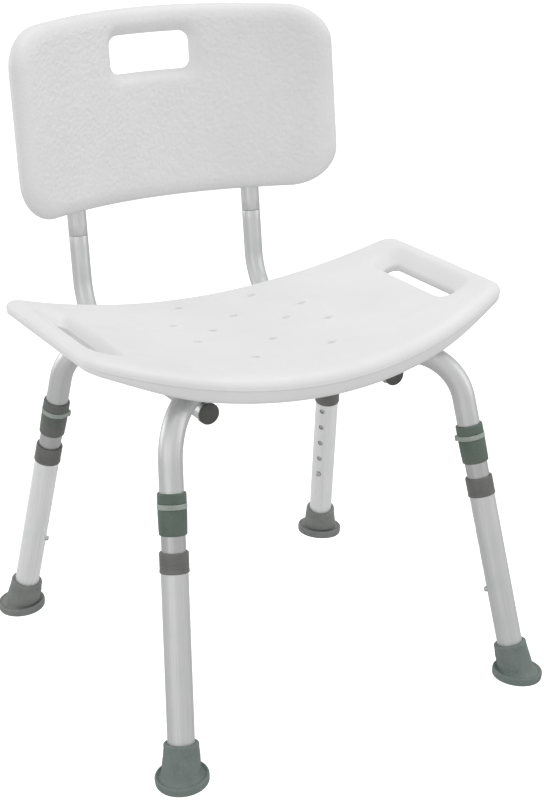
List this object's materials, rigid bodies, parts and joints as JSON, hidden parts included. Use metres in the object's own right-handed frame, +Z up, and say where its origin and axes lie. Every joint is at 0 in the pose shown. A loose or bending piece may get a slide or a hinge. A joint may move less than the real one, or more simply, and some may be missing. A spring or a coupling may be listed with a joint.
{
  "type": "shower stool",
  "caption": "Shower stool with a saddle-curved moulded seat, handle slots and curved backrest on splayed telescoping aluminium legs with rubber tips.",
  "frame": {"origin": "on the floor, midway across the width and the depth of the whole object", "axes": "+Z up, -Y towards the front edge of the seat, +X towards the object's left-hand side as seen from behind, which is the right-hand side in a front view"},
  "size_m": [0.506, 0.5324, 0.7123],
  "materials": {
    "white_hdpe": "fine matt grain",
    "aluminium": "satin anodised",
    "sleeve_plastic": "satin grey-green",
    "clip_plastic": "satin light grey",
    "collar_plastic": "satin dark grey",
    "foot_rubber": "matt grey-green rubber",
    "steel": "bright"
  },
  "bodies": {
    "frame": {"seat": "white_hdpe", "cross_tube_a": "aluminium", "cross_tube_b": "aluminium", "back_bar_l": "aluminium", "back_bar_r": "aluminium", "bar_cap_l": "collar_plastic", "bar_cap_r": "collar_plastic", "inner_leg_fl": "aluminium", "leg_sleeve_fl": "sleeve_plastic", "sleeve_clip_fl": "clip_plastic", "button_spring_fl": "steel", "seat_screw_fl": "steel", "bar_rivet_fl": "steel", "inner_leg_fr": "aluminium", "leg_sleeve_fr": "sleeve_plastic", "sleeve_clip_fr": "clip_plastic", "button_spring_fr": "steel", "seat_screw_fr": "steel", "bar_rivet_fr": "steel", "inner_leg_bl": "aluminium", "leg_sleeve_bl": "sleeve_plastic", "sleeve_clip_bl": "clip_plastic", "button_spring_bl": "steel", "seat_screw_bl": "steel", "bar_rivet_bl": "steel", "inner_leg_br": "aluminium", "leg_sleeve_br": "sleeve_plastic", "sleeve_clip_br": "clip_plastic", "button_spring_br": "steel", "seat_screw_br": "steel", "bar_rivet_br": "steel"},
    "leg_fl": {"outer_leg_fl": "aluminium", "leg_collar_fl": "collar_plastic", "foot_fl": "foot_rubber", "foot_washer_fl": "steel"},
    "leg_fr": {"outer_leg_fr": "aluminium", "leg_collar_fr": "collar_plastic", "foot_fr": "foot_rubber", "foot_washer_fr": "steel"},
    "leg_bl": {"outer_leg_bl": "aluminium", "leg_collar_bl": "collar_plastic", "foot_bl": "foot_rubber", "foot_washer_bl": "steel"},
    "leg_br": {"outer_leg_br": "aluminium", "leg_collar_br": "collar_plastic", "foot_br": "foot_rubber", "foot_washer_br": "steel"},
    "button_fl": {"leg_button_fl": "steel"},
    "button_fr": {"leg_button_fr": "steel"},
    "button_bl": {"leg_button_bl": "steel"},
    "button_br": {"leg_button_br": "steel"},
    "back": {"backrest": "white_hdpe", "back_post_l": "aluminium", "back_post_r": "aluminium", "back_spring_l": "steel", "back_spring_r": "steel"},
    "catch_l": {"back_button_l": "steel"},
    "catch_r": {"back_button_r": "steel"}
  },
  "joints": [
    {"name": "leg_fl_slide", "type": "slide", "parent": "frame", "child": "leg_fl", "axis": [-0.0993, -0.2365, -0.9665], "range_m": [0, 0.1016], "deforming": ["leg_button_fl", "button_spring_fl"]},
    {"name": "leg_fr_slide", "type": "slide", "parent": "frame", "child": "leg_fr", "axis": [0.0993, -0.2365, -0.9665], "range_m": [0, 0.1016], "deforming": ["leg_button_fr", "button_spring_fr"]},
    {"name": "leg_bl_slide", "type": "slide", "parent": "frame", "child": "leg_bl", "axis": [-0.0993, 0.2365, -0.9665], "range_m": [0, 0.1016], "deforming": ["leg_button_bl", "button_spring_bl"]},
    {"name": "leg_br_slide", "type": "slide", "parent": "frame", "child": "leg_br", "axis": [0.0993, 0.2365, -0.9665], "range_m": [0, 0.1016], "deforming": ["leg_button_br", "button_spring_br"]},
    {"name": "button_fl_press", "type": "slide", "parent": "frame", "child": "button_fl", "axis": [-0.8079, -0.5478, 0.217], "range_m": [0, 0.0045], "stiffness_N_per_m": 600, "springref_m": -0.003, "deforming": ["button_spring_fl"]},
    {"name": "button_fr_press", "type": "slide", "parent": "frame", "child": "button_fr", "axis": [0.8079, -0.5478, 0.217], "range_m": [0, 0.0045], "stiffness_N_per_m": 600, "springref_m": -0.003, "deforming": ["button_spring_fr"]},
    {"name": "button_bl_press", "type": "slide", "parent": "frame", "child": "button_bl", "axis": [-0.8079, 0.5478, 0.217], "range_m": [0, 0.0045], "stiffness_N_per_m": 600, "springref_m": -0.003, "deforming": ["button_spring_bl"]},
    {"name": "button_br_press", "type": "slide", "parent": "frame", "child": "button_br", "axis": [0.8079, 0.5478, 0.217], "range_m": [0, 0.0045], "stiffness_N_per_m": 600, "springref_m": -0.003, "deforming": ["button_spring_br"]},
    {"name": "back_lift", "type": "slide", "parent": "frame", "child": "back", "axis": [0, 0.1191, 0.9929], "range_m": [0, 0.045], "deforming": ["back_button_l", "back_button_r", "back_spring_l", "back_spring_r"]},
    {"name": "catch_l_press", "type": "slide", "parent": "back", "child": "catch_l", "axis": [0, -0.9929, 0.1191], "range_m": [0, 0.003], "stiffness_N_per_m": 600, "springref_m": -0.003, "deforming": ["back_spring_l"]},
    {"name": "catch_r_press", "type": "slide", "parent": "back", "child": "catch_r", "axis": [0, -0.9929, 0.1191], "range_m": [0, 0.003], "stiffness_N_per_m": 600, "springref_m": -0.003, "deforming": ["back_spring_r"]}
  ]
}
